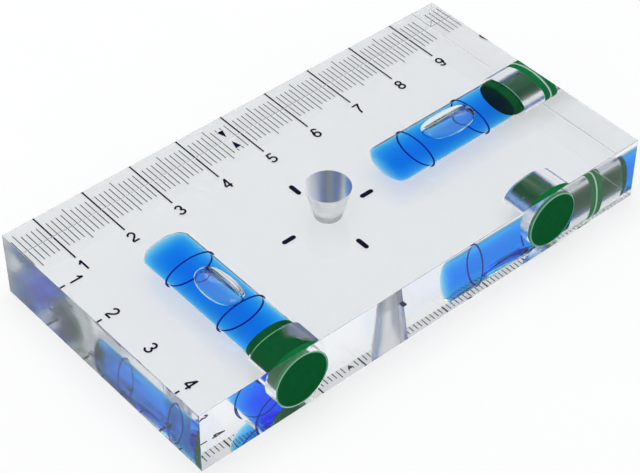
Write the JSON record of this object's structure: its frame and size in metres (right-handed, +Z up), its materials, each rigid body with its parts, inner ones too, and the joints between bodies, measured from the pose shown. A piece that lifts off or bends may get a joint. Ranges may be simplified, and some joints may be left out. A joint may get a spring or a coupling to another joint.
{
  "type": "magnetic t level",
  "caption": "Clear acrylic block level: two blue bubble vials set at right angles round a tapered centre hole, capped magnets in its edges and printed centimetre scales.",
  "frame": {"origin": "centre of the underside, on the axis of the tapered centre hole", "axes": "+X along the block's length towards the short face that holds a magnet, +Y from the long magnet face towards the long scale edge, +Z up through the thickness"},
  "size_m": [0.095, 0.0512, 0.0127],
  "materials": {
    "acrylic": "clear, polished",
    "vial_liquid": "clear blue liquid",
    "bubble_air": "air",
    "index_ink": "dark navy paint",
    "green_plastic": "satin",
    "nickel": "nickel plated magnet"
  },
  "bodies": {
    "block": {"acrylic_block": "acrylic", "front_vial_liquid": "vial_liquid", "side_vial_liquid": "vial_liquid", "front_vial_index_ring_1": "index_ink", "front_vial_index_ring_2": "index_ink", "side_vial_index_ring_1": "index_ink", "side_vial_index_ring_2": "index_ink", "front_vial_plug": "green_plastic", "side_vial_plug": "green_plastic", "front_vial_magnet_cap": "green_plastic", "side_vial_magnet_cap": "green_plastic", "front_magnet_cap": "green_plastic", "front_vial_magnet_core": "nickel", "side_vial_magnet_core": "nickel", "front_magnet_core": "nickel"},
    "front_bubble": {"front_vial_bubble": "bubble_air"},
    "side_bubble": {"side_vial_bubble": "bubble_air"}
  },
  "joints": [
    {"name": "front_bubble_slide", "type": "slide", "parent": "block", "child": "front_bubble", "axis": [0, 1, 0], "range_m": [-0.0065, 0.0085], "stiffness_N_per_m": 1, "deforming": ["front_vial_liquid"]},
    {"name": "side_bubble_slide", "type": "slide", "parent": "block", "child": "side_bubble", "axis": [-1, 0, 0], "range_m": [-0.006, 0.008], "stiffness_N_per_m": 1, "deforming": ["side_vial_liquid"]}
  ]
}
